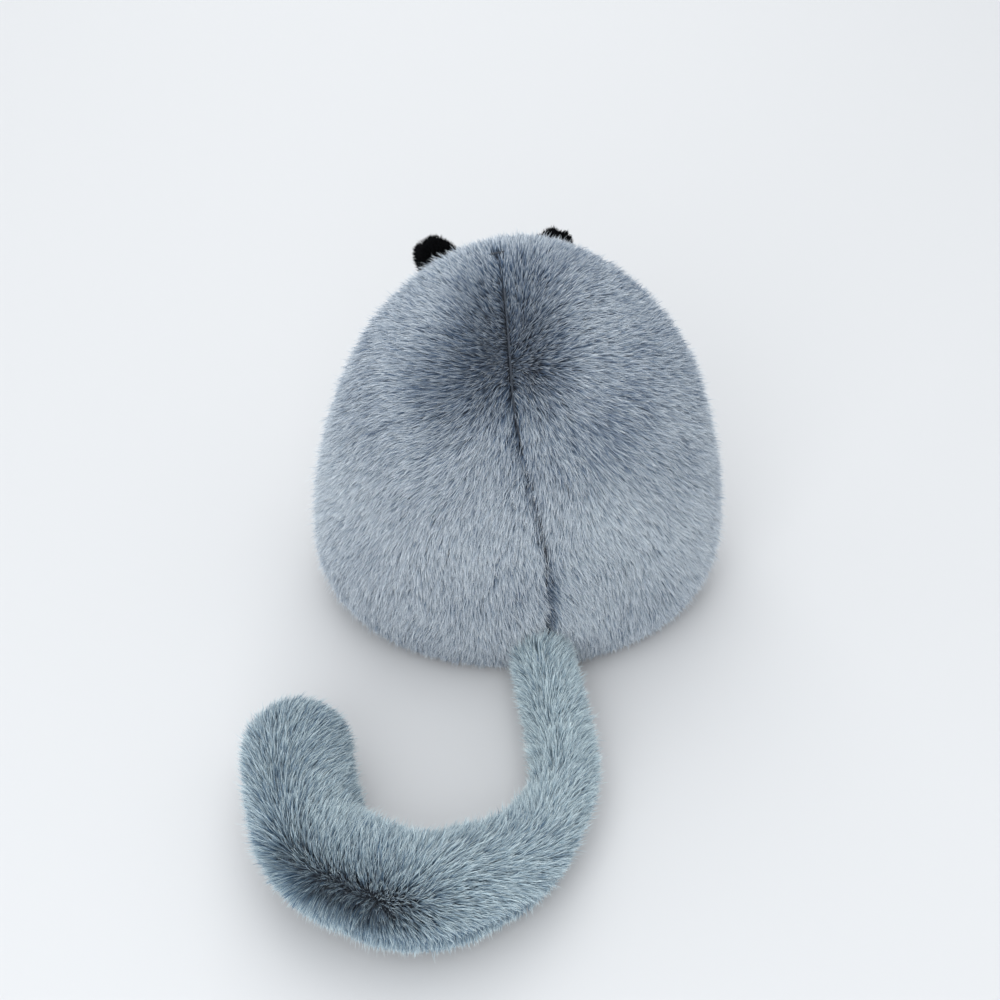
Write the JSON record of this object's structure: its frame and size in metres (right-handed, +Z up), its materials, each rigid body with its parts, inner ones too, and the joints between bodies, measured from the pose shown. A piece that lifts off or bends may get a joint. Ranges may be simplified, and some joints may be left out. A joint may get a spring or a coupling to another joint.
{
  "type": "plush cat",
  "caption": "Sitting egg-shaped stuffed cat in long grey-blue pile, with small black ears and a thick round-tipped tail that lifts, swings and curls.",
  "frame": {"origin": "on the floor under the middle of the body", "axes": "-Y is the way the face looks, +Y is the back seam's and the tail's side, +Z is up"},
  "size_m": [0.2357, 0.3307, 0.1861],
  "materials": {
    "grey_pile": "long soft pile",
    "base_pile": "short pile",
    "black_pile": "soft pile",
    "fibrefill": "loose fibre",
    "bag_cloth": "plain weave",
    "eye_plastic": "gloss",
    "washer_plastic": "matt",
    "nose_plastic": "satin",
    "thread": "twisted thread"
  },
  "bodies": {
    "body": {"back_panel_left": "grey_pile", "back_panel_right": "grey_pile", "front_panel": "grey_pile", "base_panel": "base_pile", "stuffing_body": "fibrefill", "pellet_bag": "bag_cloth", "back_seam_thread": "thread", "side_seam_thread": "thread", "eye_left": "eye_plastic", "eye_left_washer": "washer_plastic", "eye_right": "eye_plastic", "eye_right_washer": "washer_plastic", "nose": "nose_plastic", "nose_washer": "washer_plastic", "mouth_left": "thread", "mouth_right": "thread"},
    "ear_left": {"ear_left_back": "black_pile", "ear_left_front": "black_pile"},
    "ear_right": {"ear_right_back": "black_pile", "ear_right_front": "black_pile"},
    "tail_1": {"tail_1_upper": "grey_pile", "tail_1_lower": "grey_pile", "tail_1_stuffing": "fibrefill"},
    "tail_2": {"tail_2_upper": "grey_pile", "tail_2_lower": "grey_pile", "tail_2_stuffing": "fibrefill"},
    "tail_3": {"tail_3_upper": "grey_pile", "tail_3_lower": "grey_pile", "tail_3_stuffing": "fibrefill"},
    "tail_4": {"tail_4_upper": "grey_pile", "tail_4_lower": "grey_pile", "tail_4_stuffing": "fibrefill"},
    "tail_5": {"tail_5_upper": "grey_pile", "tail_5_lower": "grey_pile", "tail_5_stuffing": "fibrefill"},
    "tail_6": {"tail_6_upper": "grey_pile", "tail_6_lower": "grey_pile", "tail_6_stuffing": "fibrefill"}
  },
  "joints": [
    {"name": "tail_lift", "type": "hinge", "parent": "body", "child": "tail_1", "pos_m": [-0.0015, 0.094, 0.01615], "axis": [1, 0, 0], "range_deg": [0, 35]},
    {"name": "tail_swing", "type": "hinge", "parent": "tail_1", "child": "tail_2", "pos_m": [-0.00257, 0.13798, 0.01615], "axis": [0, 0, 1], "range_deg": [-15, 18]},
    {"name": "tail_curl_1", "type": "hinge", "parent": "tail_2", "child": "tail_3", "pos_m": [0.0064, 0.18239, 0.01706], "axis": [0, 0, 1], "range_deg": [-8, 18]},
    {"name": "tail_curl_2", "type": "hinge", "parent": "tail_3", "child": "tail_4", "pos_m": [0.03613, 0.21353, 0.02215], "axis": [0, 0, 1], "range_deg": [-8, 18]},
    {"name": "tail_curl_3", "type": "hinge", "parent": "tail_4", "child": "tail_5", "pos_m": [0.07778, 0.21682, 0.02415], "axis": [0, 0, 1], "range_deg": [-8, 18]},
    {"name": "tail_curl_4", "type": "hinge", "parent": "tail_5", "child": "tail_6", "pos_m": [0.10657, 0.18592, 0.02415], "axis": [0, 0, 1], "range_deg": [-8, 18]},
    {"name": "ear_left_fold", "type": "hinge", "parent": "body", "child": "ear_left", "pos_m": [0.0295, -0.05272, 0.14003], "axis": [0.8469, 0, -0.5317], "range_deg": [0, 35], "stiffness_Nm_per_rad": 0.02},
    {"name": "ear_right_fold", "type": "hinge", "parent": "body", "child": "ear_right", "pos_m": [-0.0199, -0.0533, 0.14421], "axis": [0.9252, 0, 0.3795], "range_deg": [0, 35], "stiffness_Nm_per_rad": 0.02}
  ],
  "couplings": [
    {"joint": "tail_curl_2", "follows": "tail_curl_1", "ratio": 1},
    {"joint": "tail_curl_3", "follows": "tail_curl_1", "ratio": 1},
    {"joint": "tail_curl_4", "follows": "tail_curl_1", "ratio": 1}
  ]
}
